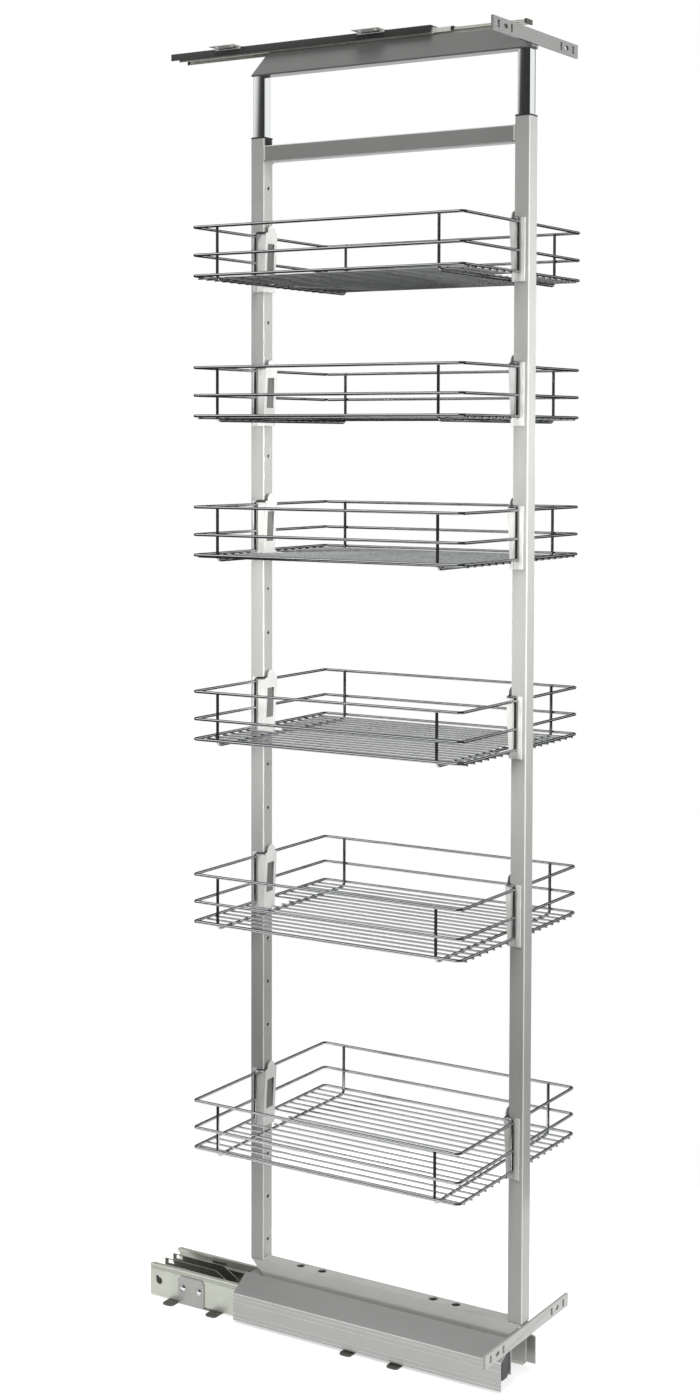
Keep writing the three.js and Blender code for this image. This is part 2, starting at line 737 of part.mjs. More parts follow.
// A pressed foot: a cross plate with an ear at each corner and a riveted flange on each side.
function foot(place) {
  const middle = place.flange;
  const flange = outline([
    [middle - flangeLength / 2, 0], [middle + flangeLength / 2, 0],
    [middle + flangeLength / 2, flangeHeight - flangeCorner],
    [middle + flangeLength / 2 - flangeCorner, flangeHeight],
    [middle - flangeLength / 2 + flangeCorner, flangeHeight],
    [middle - flangeLength / 2, flangeHeight - flangeCorner],
  ]);
  const pieces = [block(-flangeOuter, flangeOuter, place.front, place.rear, 0, footThickness)];
  for (const side of [-1, 1]) {
    const span = (a, b) => (side > 0 ? [a, b] : [-b, -a]);
    const ear = span(0, place.reach);
    pieces.push(block(...ear, place.rear - place.ear, place.rear, 0, footThickness));
    pieces.push(block(...ear, place.front, place.front + place.ear, 0, footThickness));
    pieces.push(alongX(flange, ...span(flangeInner, flangeOuter)));
    for (const shift of [-rivetSpacing / 2, rivetSpacing / 2]) {
      const length = span(flangeOuter - flangeWall / 2, flangeOuter + rivetDome);
      const rivet = rod('x', rivetRadius, ...length, 8);
      pieces.push(rivet.translate(0, middle + shift, rivetHeight));
    }
  }
  return geometryOf(fuse(pieces));
}

function addFeet() {
  addPiece('rear_foot_plate', foot(footRear), finish.darkZinc);
  addPiece('front_foot_plate', foot(footFront), finish.darkZinc);
}

// Two slotted plates on a common base, in line with the post frame.
function addGuideBracket() {
  const base = channelBottom;
  const plate = outline([
    [guideFront, base], [footRear.rear, base], [guideRear, guideFrontTop],
    [guideRear, guideTop], [guideSlopeStart, guideTop], [guideFront, guideFrontTop],
  ]);
  const bracket = solid(alongX(plate, -guideX, guideX));
  const inside = guideX - guideWall;
  const slot = block(
    -guideX - over, guideX + over, guideSlot.y - guideSlot.length / 2, guideSlot.y + guideSlot.length / 2,
    guideSlot.z - guideSlot.height / 2, guideSlot.z + guideSlot.height / 2);
  const hollow = block(
    -inside, inside, guideFront - over, guideRear + over, base + guideWall, guideTop + over);
  addPiece('guide_bracket', geometryOf(cut(bracket, [hollow, slot])), finish.darkZinc);
}

function addMiddleRails() {
  const half = channelSection(
    middleOuter, middleInner, middleRailBottom, middleRailTop, middleRailWall, middleRailLip);
  const front = middleRailRear - middleRailLength;
  for (const [name, side] of sides) {
    addPiece(`middle_rail_${name}`, alongY(onSide(half, side), front, middleRailRear), finish.zinc);
  }
}

// A small bent catch inside each channel's lip, above the middle rail.
function addCatches() {
  const outer = channelOuter - channelLip - seatGap;
  const low = middleRailTop + slideGap + seatGap;
  const half = [
    [outer, low], [outer, low + catchHeight], [outer - catchWall, low + catchHeight],
    [outer - catchWall, low + catchWall], [outer - catchReach, low + catchWall],
    [outer - catchReach, low],
  ];
  for (const [name, side] of sides) {
    const bent = alongY(onSide(half, side), catchY - catchLength / 2, catchY + catchLength / 2);
    addPiece(`rear_catch_${name}`, bent, finish.zinc);
  }
}

// ---------------------------------------------------------------- top slide

// An inverted channel with lips turned in under it.
const hangingChannel = (halfWidth, low, high, wall, lip) => [
  [halfWidth, high], [halfWidth, low], [halfWidth - wall - lip, low],
  [halfWidth - wall - lip, low + wall], [halfWidth - wall, low + wall], [halfWidth - wall, high - wall],
];

function addTopFixedRails() {
  const inside = topRailHalfWidth - topRailWall;
  const black = [
    [topRailHalfWidth, topRailTop], [topRailHalfWidth, topRailBottom], [inside, topRailBottom],
    [inside, topRailTop - topRailWall],
  ];
  addPiece('top_fixed_rail', alongY(mirrored(black), topRailFront, topRailRear), finish.blackPaint);
  const silver = hangingChannel(
    racewayHalfWidth, racewayBottom, racewayTop, racewayWall, racewayLip);
  addPiece('top_raceway', alongY(mirrored(silver), topRailFront, racewayRear), finish.zinc);
}

function addTopMiddleRail() {
  const half = hangingChannel(topMiddleOuter, topMiddleBottom, topMiddleTop, topMiddleWall, topMiddleLip);
  const front = topMiddleRear - topMiddleLength;
  addPiece('top_middle_rail', alongY(mirrored(half), front, topMiddleRear), finish.zinc);
  const low = topMiddleTop - topStopDrop;
  const cap = mirrored([
    [topMiddleInside, topMiddleTop - topMiddleWall], [topMiddleInside, low],
    [topMiddleOuter, low], [topMiddleOuter, topMiddleTop],
  ]);
  const stopRearEnd = front - seatGap;
  addPiece('top_rail_stop', alongY(cap, stopRearEnd - topStopLength, stopRearEnd), finish.blackPlastic);
}

// A rail on two legs that stand in the top channel, with an upright stop plate at its front end.
// The legs end where the channel's sides start to slope down.
function addTopInnerRail() {
  const head = topMiddleInside - slideGap;
  const headBottom = topInnerHead - topInnerHeadHeight;
  const grooveMiddle = topInnerHead - topInnerHeadHeight / 2;
  const base = topChannelBase + sheet + seatGap;
  const half = [
    [topInnerLeg - topInnerWall, headBottom], [topInnerLeg - topInnerWall, base],
    [topInnerLeg, base], [topInnerLeg, headBottom], [head, headBottom],
    [head, grooveMiddle - ballGroove / 2], [head - ballGroove, grooveMiddle],
    [head, grooveMiddle + ballGroove / 2], [head, topInnerHead],
  ];
  const legEnd = topChannelTip - topChannelHeight;
  const rail = cut(solid(alongY(mirrored(half), topInnerFront, topInnerRear)), [
    block(-head, head, legEnd, topChannelTip, base - over, headBottom),
    block(-head, head, -topChannelTip, -legEnd, base - over, headBottom),
  ]);
  const plate = block(
    -endPlateHalfWidth, endPlateHalfWidth, topInnerFront - endPlateWall, topInnerFront + weldDepth,
    headBottom - endPlateDrop, topMiddleTop);
  addPiece('top_inner_rail', geometryOf(rail.add(solid(plate))), finish.zinc);
}

// Flat straps across the top rail. They hook over its sides and reach past them for the
// screws into the cabinet's top panel.
function addTopBrackets() {
  const low = topRailTop + seatGap;
  const inside = topRailHalfWidth + seatGap;
  const outside = inside + topBracketThickness;
  const section = mirrored([
    [inside, low], [inside, low - topBracketHook], [outside, low - topBracketHook], [outside, low],
    [topBracketHalfWidth, low], [topBracketHalfWidth, low + topBracketThickness],
  ]);
  ends.forEach(([name], index) => {
    const middle = topBracketMiddles[index];
    const strap = alongY(section, middle - topBracketLength / 2, middle + topBracketLength / 2);
    addPiece(`top_bracket_${name}`, strap, finish.zinc);
  });
}

addPosts();
addCrossbar();
addBottomRail();
addTopChannel();
addInnerPosts();
addDoorBrackets();
addBaskets();
addClips();
addRunnerCover();
addInnerRails();
addRunnerStop();
addBaseChannels();
addFeet();
addGuideBracket();
addMiddleRails();
addCatches();
addTopFixedRails();
addTopMiddleRail();
addTopInnerRail();
addTopBrackets();

export default unit;
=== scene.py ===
import json
import math

import bmesh
import bpy
from mathutils import Matrix, Vector

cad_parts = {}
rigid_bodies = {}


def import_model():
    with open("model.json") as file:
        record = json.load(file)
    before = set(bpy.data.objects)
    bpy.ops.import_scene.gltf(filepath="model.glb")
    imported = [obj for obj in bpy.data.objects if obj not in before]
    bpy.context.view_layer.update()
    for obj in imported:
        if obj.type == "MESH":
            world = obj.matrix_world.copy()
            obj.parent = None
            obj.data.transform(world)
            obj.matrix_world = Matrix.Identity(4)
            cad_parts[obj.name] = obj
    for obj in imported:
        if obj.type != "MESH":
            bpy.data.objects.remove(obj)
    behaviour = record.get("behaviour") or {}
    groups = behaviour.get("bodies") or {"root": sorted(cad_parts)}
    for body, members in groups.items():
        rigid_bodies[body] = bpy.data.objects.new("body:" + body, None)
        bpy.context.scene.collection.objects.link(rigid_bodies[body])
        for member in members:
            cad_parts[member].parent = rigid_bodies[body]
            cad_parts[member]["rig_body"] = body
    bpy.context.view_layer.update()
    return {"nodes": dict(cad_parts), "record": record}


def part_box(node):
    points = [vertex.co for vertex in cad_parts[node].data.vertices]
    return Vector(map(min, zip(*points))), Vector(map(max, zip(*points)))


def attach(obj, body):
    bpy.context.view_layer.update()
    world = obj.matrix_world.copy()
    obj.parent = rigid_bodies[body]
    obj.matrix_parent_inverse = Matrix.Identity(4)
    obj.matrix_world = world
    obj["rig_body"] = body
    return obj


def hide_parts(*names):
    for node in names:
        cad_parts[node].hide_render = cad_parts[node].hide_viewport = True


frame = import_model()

nodes = frame["nodes"]
mm = 0.001
hair, samePlace, sameFace = 1e-7, 1e-6, 1e-5   # metres within which two measures count as one
flat = math.radians(0.5)                       # faces that turn by less than this are one face
print("frame loaded:", len(nodes), "nodes")


def toLinear(code):
    # "#rrggbb" as the eye reads it, turned into the linear numbers that a shader wants
    parts = [int(code[i:i + 2], 16) / 255 for i in (1, 3, 5)]
    return tuple(c / 12.92 if c <= 0.04045 else ((c + 0.055) / 1.055) ** 2.4 for c in parts) + (1.0,)


def perMetre(size):
    # pattern scale on Object coordinates for a feature of this many millimetres
    return 1 / (size * mm)


# materials

def addNode(tree, kind, settings=None, links=None):
    node = tree.nodes.new(kind)
    for key, value in (settings or {}).items():
        if isinstance(key, int) or key in node.inputs:
            node.inputs[key].default_value = value
        else:
            setattr(node, key, value)
    for key, source in (links or {}).items():
        tree.links.new(source, node.inputs[key])
    return node


def newSurface(name, settings):
    material = bpy.data.materials.new(name)
    material.use_nodes = True
    tree = material.node_tree
    shader = tree.nodes["Principled BSDF"]
    for key, value in settings.items():
        shader.inputs[key].default_value = value
    return tree, shader, material


def stretchedPoint(tree, stretch=(1, 1, 1)):
    # Object coordinates drawn out along an axis, for grain and rolling lines
    place = addNode(tree, "ShaderNodeTexCoord")
    return addNode(
        tree, "ShaderNodeMapping", {"Scale": stretch}, {"Vector": place.outputs["Object"]}).outputs["Vector"]


def tint(tree, shader, factor, dark, light, low=0.3, high=0.7):
    ramp = addNode(tree, "ShaderNodeValToRGB", None, {"Fac": factor})
    ramp.color_ramp.elements[0].position = low
    ramp.color_ramp.elements[1].position = high
    ramp.color_ramp.elements[0].color = toLinear(dark)
    ramp.color_ramp.elements[1].color = toLinear(light)
    tree.links.new(ramp.outputs["Color"], shader.inputs["Base Color"])


def roughen(tree, shader, factor, low, high):
    spread = addNode(tree, "ShaderNodeMapRange", {"To Min": low, "To Max": high}, {"Value": factor})
    tree.links.new(spread.outputs["Result"], shader.inputs["Roughness"])


def bump(tree, shader, height, depth, strength):
    ridge = addNode(
        tree, "ShaderNodeBump", {"Distance": depth * mm, "Strength": strength}, {"Height": height})
    tree.links.new(ridge.outputs["Normal"], shader.inputs["Normal"])


# Polyester powder coat on steel tube: silver grey with fine metallic flake, and the shallow
# orange peel of a sprayed and baked coat. Flake and peel are drawn at 1.2 and 3 mm, coarser than
# life, to show.
def powderCoat(name, dark, light, roughness):
    tree, shader, material = newSurface(
        name, {"Metallic": 0.1, "IOR": 1.5, "Coat Weight": 0.6, "Coat Roughness": 0.12})
    point = stretchedPoint(tree)
    cloud = addNode(tree, "ShaderNodeTexNoise", {"Scale": perMetre(180), "Detail": 3}, {"Vector": point})
    peel = addNode(tree, "ShaderNodeTexNoise", {"Scale": perMetre(3), "Detail": 2}, {"Vector": point})
    flake = addNode(tree, "ShaderNodeTexVoronoi", {"Scale": perMetre(1.2)}, {"Vector": point})
    tint(tree, shader, cloud.outputs["Fac"], dark, light)
    roughen(tree, shader, flake.outputs["Distance"], roughness - 0.06, roughness + 0.06)
    bump(tree, shader, peel.outputs["Fac"], 0.05, 0.25)
    return material


# Bright nickel-chrome on drawn wire or tube: a mirror whose gleam is broken up by faint drawing
# marks. The outline colour tints its edges; a dark one paints a dark rim where wire is seen edge
# on, a painted reflection of a dark room. The marks are drawn at 4 mm, coarser than life, to show.
def brightChrome(name, dark, light, stretch, roughness, outline="#ffffff", peel=0.1):
    tree, shader, material = newSurface(name, {"Metallic": 1.0, "Specular Tint": toLinear(outline)})
    point = stretchedPoint(tree, stretch)
    marks = addNode(tree, "ShaderNodeTexNoise", {"Scale": perMetre(4), "Detail": 3}, {"Vector": point})
    tint(tree, shader, marks.outputs["Fac"], dark, light)
    roughen(tree, shader, marks.outputs["Fac"], roughness, roughness + 0.05)
    bump(tree, shader, marks.outputs["Fac"], 0.01, peel)
    return material


# Metal with rolling or die lines along it and soft cloudy patches from its bath: steel strip,
# zinc-plated and passivated to a pale yellow grey, or the anodised cover's ribs in painted highlight
# and painted shade. The lines are drawn at 4 mm, coarser than life, to show, and the patches are 40 mm
# across.
def linedMetal(name, dark, light, stretch, roughness, metallic=0.55):
    tree, shader, material = newSurface(name, {"Metallic": metallic})
    point, along = stretchedPoint(tree), stretchedPoint(tree, stretch)
    lines = addNode(tree, "ShaderNodeTexNoise", {"Scale": perMetre(4), "Detail": 2}, {"Vector": along})
    patch = addNode(
        tree, "ShaderNodeTexNoise", {"Scale": perMetre(40), "Detail": 4, "Roughness": 0.6}, {"Vector": point})
    most = addNode(tree, "ShaderNodeMath", {"operation": "MULTIPLY", 1: 0.65}, {0: patch.outputs["Fac"]})
    both = addNode(
        tree, "ShaderNodeMath", {"operation": "MULTIPLY_ADD", 1: 0.35},
        {0: lines.outputs["Fac"], 2: most.outputs[0]})
    tint(tree, shader, both.outputs[0], dark, light, 0.35, 0.65)
    roughen(tree, shader, both.outputs[0], roughness - 0.08, roughness + 0.08)
    bump(tree, shader, lines.outputs["Fac"], 0.02, 0.1)
    return material


# Extruded aluminium, etched and anodised: matt silver with die lines along its whole length,
# drawn at 1.6 mm, coarser than life, to show.
def anodisedExtrusion(name):
    tree, shader, material = newSurface(name, {"Metallic": 0.45})
    point = stretchedPoint(tree, (1, 0.004, 1))
    lines = addNode(tree, "ShaderNodeTexNoise", {"Scale": perMetre(1.6), "Detail": 4}, {"Vector": point})
    tint(tree, shader, lines.outputs["Fac"], "#b4b5b3", "#babbb9")
    roughen(tree, shader, lines.outputs["Fac"], 0.36, 0.44)
    bump(tree, shader, lines.outputs["Fac"], 0.02, 0.08)
    return material


# Injection-moulded polypropylene or nylon: even colour and a soft sheen, with a spark-eroded
# grain that is drawn at 0.8 mm, coarser than life, to show.
def mouldedPlastic(name, dark, light, roughness):
    tree, shader, material = newSurface(name, {"Metallic": 0.0, "IOR": 1.49})
    point = stretchedPoint(tree)
    grain = addNode(tree, "ShaderNodeTexNoise", {"Scale": perMetre(0.8), "Detail": 2}, {"Vector": point})
    flow = addNode(tree, "ShaderNodeTexNoise", {"Scale": perMetre(30), "Detail": 2}, {"Vector": point})
    tint(tree, shader, flow.outputs["Fac"], dark, light)
    roughen(tree, shader, grain.outputs["Fac"], roughness - 0.05, roughness + 0.08)
    bump(tree, shader, grain.outputs["Fac"], 0.03, 0.3)
    return material


surfaces = {
    "grey_paint": powderCoat("silverPowderCoat", "#9d9e9b", "#a5a6a3", 0.36),
    "galvanised": linedMetal("passivatedZinc", "#c3c6b9", "#d2d5ca", (1, 0.02, 1), 0.36),
    # dark zinc: on the feet and the guide its darkness is painted shade
    "foot_steel": linedMetal("darkZinc", "#5a5a52", "#74746c", (1, 1, 1), 0.42),
    "anodised_aluminium": anodisedExtrusion("anodisedExtrusion"),
    # the near-black outline is a painted dark reflection along the wires' edges
    "chrome": brightChrome("drawnChrome", "#cccecf", "#dee0e1", (1, 1, 1), 0.04, "#0c0c0c"),
    "grey_plastic": mouldedPlastic("mouldedGreyPlastic", "#c0c0bd", "#cdcdca", 0.38),
    "black_plastic": mouldedPlastic("mouldedBlackNylon", "#1d1d1d", "#2a2a2a", 0.42),
    "black_paint": powderCoat("blackCoat", "#2e2e2e", "#373737", 0.45),
}
chromedTube = brightChrome("chromedTube", "#e4e6e7", "#eff1f2", (1, 1, 0.02), 0.06, peel=0.01)
# a darker copy of the silver coat: painted shade for the parts up high, which get less light
shadedPaint = powderCoat("paintedShadeSilverCoat", "#7c7d7b", "#848583", 0.34)
# near-white zinc with little metal in it: its whiteness is a painted reflection of the backdrop on the
# straps' tabs
strapReflectionZinc = linedMetal("paintedReflectionZincStrap", "#f0f0ea", "#f8f8f4", (1, 1, 1), 0.25, 0.1)
# lighter coat for the tube corners: a painted highlight
cornerHighlightPaint = powderCoat("paintedCornerHighlight", "#cbccc8", "#d6d7d3", 0.2)
# a lighter copy of the silver coat for the bottom rail: painted light, from the bounce off the floor
litRailPaint = powderCoat("paintedLightSilverCoat", "#b6b7b3", "#bebfbb", 0.34)
# the weld beads are painted like the frame; their lighter, glossier coat is a painted highlight for the
# welds' sparkle
weldHighlightPaint = powderCoat("paintedHighlightWeldCoat", "#c2c3bf", "#d0d1cd", 0.2)
brightZinc = linedMetal("brightZincStrip", "#d9dad0", "#e9eae2", (1, 0.02, 1), 0.28, 0.4)
# a lighter copy of the feet's zinc for their upturned flanges: painted light, the lit side of the same plate
flangeLitZinc = linedMetal("paintedLightZincPlate", "#a9aaa6", "#b9bab6", (1, 1, 1), 0.34, 0.4)
# lighter zinc on the guide's edges: painted highlight
edgeHighlightZinc = linedMetal("paintedHighlightZincEdge", "#a8a89a", "#bcbcb0", (1, 1, 1), 0.3, 0.4)
# near-white rib tips and shoulder of the cover: painted highlight
ribHighlight = linedMetal("paintedHighlightRibTip", "#ececea", "#f6f6f4", (1, 0.01, 1), 0.26, 0.2)
# dark faces under the cover's ribs: painted shade
ribShade = linedMetal("shadedUnderRib", "#7e7f7e", "#8a8b8a", (1, 0.01, 1), 0.4, 0.2)
# darker plastic for the clips' recessed pocket: painted shade
pocketShade = mouldedPlastic("paintedShadePocket", "#686866", "#747472", 0.5)
slotOf = {part["node"]: part["material_slot"] for part in frame["record"]["subparts"]}

for name, node in nodes.items():
    node.data.materials.clear()
    node.data.materials.append(surfaces[slotOf[name]])
print("materials made:", len(bpy.data.materials))


# shared modelling steps

def addObject(name, data):
    item = bpy.data.objects.new(name, data)
    bpy.context.scene.collection.objects.link(item)
    return item


def meshFrom(bm, name):
    mesh = bpy.data.meshes.new(name)
    bm.to_mesh(mesh)
    bm.free()
    return mesh


def smooth(mesh):
    mesh.polygons.foreach_set("use_smooth", [True] * len(mesh.polygons))


def finishPiece(bm, name, node, materials=None, sharp=32):
    return dressMesh(meshFrom(bm, name), name, node, materials, sharp)


def dressMesh(mesh, name, node, materials=None, sharp=32):
    # makes a mesh into a piece that stands for a CAD node and rides where it rides
    if mesh.materials:
        mesh.materials.clear()
    for material in materials or [surfaces[slotOf[node]]]:
        mesh.materials.append(material)
    smooth(mesh)
    mesh.set_sharp_from_angle(angle=math.radians(sharp))
    piece = addObject(name, mesh)
    weighted = piece.modifiers.new("evenShading", "WEIGHTED_NORMAL")
    weighted.keep_sharp = True
    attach(piece, nodes[node]["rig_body"])
    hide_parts(node)
    return piece


def paintCornerHighlights(piece, along, bothWays=0.35):
    # A painted highlight: the faces over the rounded corners of a square tube get a lighter, glossier
    # coat that stands in for the light the corners catch. A face is part of a corner when it turns at
    # least this far both ways.
    piece.data.materials.append(cornerHighlightPaint)
    for polygon in piece.data.polygons:
        across = [abs(polygon.normal[i]) for i in range(3) if i != along]
        if min(across) > bothWays:
            polygon.material_index = 1


def bakedMesh(source):
    # the mesh that an object's modifiers or bevelled curve come to
    view = bpy.context.evaluated_depsgraph_get()
    return bpy.data.meshes.new_from_object(source.evaluated_get(view))


def mergedCopy(node):
    # the CAD solid's loose triangles, joined into whole faces again
    bm = bmesh.new()
    bm.from_mesh(nodes[node].data)
    bmesh.ops.remove_doubles(bm, verts=bm.verts, dist=samePlace)
    bmesh.ops.dissolve_limit(
        bm, angle_limit=flat, use_dissolve_boundaries=False,
        verts=bm.verts, edges=bm.edges, delimit={"NORMAL"})
    return bm


def everything(bm):
    return bm.verts[:] + bm.edges[:] + bm.faces[:]


def roundEdges(bm, picked, radius, segments):
    bmesh.ops.bevel(
        bm, geom=picked, offset=radius * mm, offset_type="OFFSET", segments=segments,
        profile=0.5, affect="EDGES", clamp_overlap=True, material=-1)


def roundCorners(bm, picked, radius):
    bmesh.ops.bevel(
        bm, geom=picked, offset=radius * mm, segments=4, profile=0.5, affect="VERTICES", material=-1)


def bevelEdges(bm, radius, segments, sharpFrom=0.7):
    # rounds all sharp edges; the strips of an earlier bevel are too shallow to be picked again
    picked = [e for e in bm.edges if len(e.link_faces) == 2 and e.calc_face_angle(0) > sharpFrom]
    roundEdges(bm, picked, radius, segments)


def paintFaces(bm, index, wanted):
    for face in bm.faces:
        if wanted(face):
            face.material_index = index


def tubeFace(bm, size, wall, corner, crown=0):
    # The end face of a square tube, lying at Z 0: a rounded square with its middle taken out.
    # A crown bows the four sides outwards, as drawing leaves them.
    bmesh.ops.create_grid(bm, x_segments=1, y_segments=1, size=size / 2 * mm)
    roundCorners(bm, bm.verts[:], corner)
    if crown:
        sides = [e for e in bm.edges if e.calc_length() > size / 2 * mm]
        bmesh.ops.subdivide_edges(bm, edges=sides, cuts=5, use_grid_fill=False)
        for vert in bm.verts:
            for across, out in ((0, 1), (1, 0)):
                if abs(abs(vert.co[out]) - size / 2 * mm) < hair:
                    share = vert.co[across] / ((size / 2 - corner) * mm)
                    vert.co[out] += math.copysign(crown * mm * max(0, 1 - share * share), vert.co[out])
    middle = bm.faces[:]
    bmesh.ops.inset_region(bm, faces=middle, thickness=wall * mm, use_boundary=True, use_even_offset=True)
    bmesh.ops.delete(bm, geom=middle, context="FACES")


def giveDepth(bm, faces, shift):
    # gives flat faces a depth and closes them underneath
    made = bmesh.ops.extrude_face_region(bm, geom=faces, use_keep_orig=True)
    moved = [v for v in made["geom"] if isinstance(v, bmesh.types.BMVert)]
    bmesh.ops.translate(bm, verts=moved, vec=Vector(shift) * mm)
    bmesh.ops.recalc_face_normals(bm, faces=bm.faces)


def drilled(bm, cutters, name):
    # takes rods and blocks out of a solid with an exact boolean, and gives the mesh
    blank = addObject(name + "Blank", meshFrom(bm, name + "Blank"))
    tools = addObject(name + "Tools", meshFrom(cutters, name + "Tools"))
    step = blank.modifiers.new("drill", "BOOLEAN")
    step.operation = "DIFFERENCE"
    step.solver = "EXACT"
    step.object = tools
    result = bakedMesh(blank)
    for item in (blank, tools):
        bpy.data.objects.remove(item)
    return result


def addRod(bm, axis, radius, middle, length, sides=24):
    turn = {
        "x": Matrix.Rotation(math.pi / 2, 4, "Y"),
        "y": Matrix.Rotation(math.pi / 2, 4, "X"),
        "z": Matrix.Identity(4),
    }[axis]
    bmesh.ops.create_cone(
        bm, cap_ends=True, cap_tris=False, segments=sides, radius1=radius * mm, radius2=radius * mm,
        depth=length * mm, matrix=Matrix.Translation(Vector(middle) * mm) @ turn)


def addBlock(bm, low, high):
    low, high = Vector(low) * mm, Vector(high) * mm
    scale = Matrix.Diagonal((high - low).to_4d())
    scale[3][3] = 1
    bmesh.ops.create_cube(bm, size=1, matrix=Matrix.Translation((low + high) / 2) @ scale)


def roundedPath(corners, radius, steps=6):
    # a bent wire's middle line: straight runs with an arc at each inner corner
    points = [Vector(corners[0])]
    for before, corner, after in zip(corners, corners[1:], corners[2:]):
        corner = Vector(corner)
        back = (Vector(before) - corner).normalized()
        ahead = (Vector(after) - corner).normalized()
        half = back.angle(ahead) / 2
        middle = corner + (back + ahead).normalized() * radius / math.sin(half)
        start = corner + back * radius / math.tan(half)
        axis = back.cross(ahead)
        sweep = math.pi - 2 * half
        for i in range(steps + 1):
            turn = Matrix.Rotation(-sweep * i / steps, 3, axis)
            points.append(middle + turn @ (start - middle))
    points.append(Vector(corners[-1]))
    return points


def wireMesh(runs, radius, name, resolution=4, swell=None):
    # round wires along several paths in one mesh, with closed ends
    curve = bpy.data.curves.new(name + "Line", "CURVE")
    curve.dimensions = "3D"
    curve.bevel_depth = radius * mm
    curve.bevel_resolution = resolution
    curve.use_fill_caps = True
    for run in runs:
        spline = curve.splines.new("POLY")
        spline.points.add(len(run) - 1)
        for index, (point, place) in enumerate(zip(spline.points, run)):
            point.co = (Vector(place) * mm).to_4d()
            point.radius = swell(index) if swell else 1
    line = addObject(name + "Line", curve)
    mesh = bakedMesh(line)
    bpy.data.objects.remove(line)
    return mesh


# posts, with the holes that the clips sit in

post = {
    "size": 25, "wall": 1.2, "corner": 2.2, "low": 93.7, "high": 1881, "middle": 234,
    "hole": 5.6, "firstHole": 124, "pitch": 70, "holes": 25, "notch": 18.6, "notchLow": 1869.8,
    "notchPast": 2, "screwHole": 6.8, "screwZ": 1850, "drill": 6,
}


def makePost(name, end):
    bm = bmesh.new()
    tubeFace(bm, post["size"], post["wall"], post["corner"])
    giveDepth(bm, bm.faces[:], (0, 0, post["high"] - post["low"]))
    bmesh.ops.translate(bm, verts=bm.verts, vec=Vector((0, end * post["middle"], post["low"])) * mm)
    inner = end * (post["middle"] - post["size"] / 2)
    cutters = bmesh.new()
    for i in range(post["holes"]):
        place = (0, inner, post["firstHole"] + i * post["pitch"])
        addRod(cutters, "y", post["hole"] / 2, place, post["drill"])
    notch = post["notch"] / 2
    past = post["notchPast"]
    addBlock(cutters, (-notch, inner - past, post["notchLow"]), (notch, inner + past, post["high"] + past))
    side = (post["size"] / 2, end * post["middle"], post["screwZ"])
    addRod(cutters, "x", post["screwHole"] / 2, side, post["drill"])
    mesh = drilled(bm, cutters, name + "Tube")
    paintCornerHighlights(dressMesh(mesh, name + "Tube", name), 2)


for end, name in ((1, "rear_post"), (-1, "front_post")):
    makePost(name, end)
print("posts made")


# crossbar, welded between the posts

crossbar = {"size": 25, "wall": 1.2, "corner": 2.2, "half": 221.2, "middle": 1857}


def makeCrossbar():
    bm = bmesh.new()
    tubeFace(bm, crossbar["size"], crossbar["wall"], crossbar["corner"])
    giveDepth(bm, bm.faces[:], (0, 0, 2 * crossbar["half"]))
    bmesh.ops.rotate(bm, verts=bm.verts, matrix=Matrix.Rotation(math.pi / 2, 3, "X"))
    bmesh.ops.translate(bm, verts=bm.verts, vec=Vector((0, crossbar["half"], crossbar["middle"])) * mm)
    # the crossbar takes the darker copy of the coat, painted shade
    paintCornerHighlights(finishPiece(bm, "crossbarTube", "crossbar", [shadedPaint]), 1)


makeCrossbar()


# weld beads, ripples of metal laid along the joints of the frame

bead = {
    "radius": 1.3, "step": 0.9, "reach": 0.7, "endGap": 2, "lift": 0.2,
    "waves": ((0.22, 1.9), (0.1, 0.83)),   # height and pace of each ripple
}


def rippledPath(start, end):
    # points close enough together for the ripples of a bead
    start, end = Vector(start), Vector(end)
    count = max(3, int((end - start).length / bead["step"]))
    return [start.lerp(end, i / count) for i in range(count + 1)]


def rippleSize(index):
    return 1 + sum(height * math.sin(index * pace) for height, pace in bead["waves"])


def addBeads():
    half = crossbar["size"] / 2
    corner = half - crossbar["corner"] / 2
    y = crossbar["half"] - bead["reach"]
    low, high = crossbar["middle"] - half, crossbar["middle"] + half
    foot, gap = post["low"] + bead["lift"], bead["endGap"]
    runs = []
    for end in (-1, 1):
        for side in (-1, 1):
            runs.append(rippledPath((side * half, end * y, low + gap), (side * half, end * y, high - gap)))
        runs.append(rippledPath((-corner, end * y, low), (corner, end * y, low)))
        inner = end * (post["middle"] - half)
        runs.append(rippledPath((-corner, inner, foot), (corner, inner, foot)))
    mesh = wireMesh(runs, bead["radius"], "frameWelds", 3, rippleSize)
    # the beads' lighter coat is a painted highlight
    mesh.materials.append(weldHighlightPaint)
    smooth(mesh)
    beads = addObject("frameWelds", mesh)
    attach(beads, "frame")


addBeads()
print("crossbar and welds made")


# the two U rails, folded from sheet and cut back at 45 degrees

bottomRail = {
    "halfWidth": 12.5, "sheet": 2, "bend": 2.4, "high": 93.4, "low": 65.8, "tip": 246.5,
    "hole": 14, "holes": (158, 117, -86.5, -126.7), "drill": 8,
}
topChannel = {"halfWidth": 13.5, "sheet": 2, "bend": 2.4, "high": 2010.3, "low": 1978.3, "tip": 246.5}


def uSection(bm, sizes, closedAt, openAt):
    # a U of sheet in the XZ plane, with its two outer bends rounded
    outer, inner = sizes["halfWidth"], sizes["halfWidth"] - sizes["sheet"]
    inside = closedAt + (sizes["sheet"] if openAt > closedAt else -sizes["sheet"])
    places = [
        (-outer, openAt), (-outer, closedAt), (outer, closedAt), (outer, openAt),
        (inner, openAt), (inner, inside), (-inner, inside), (-inner, openAt)]
    verts = [bm.verts.new(Vector((x, 0, z)) * mm) for x, z in places]
    bm.faces.new(verts)
    roundCorners(bm, [verts[1], verts[2]], sizes["bend"])


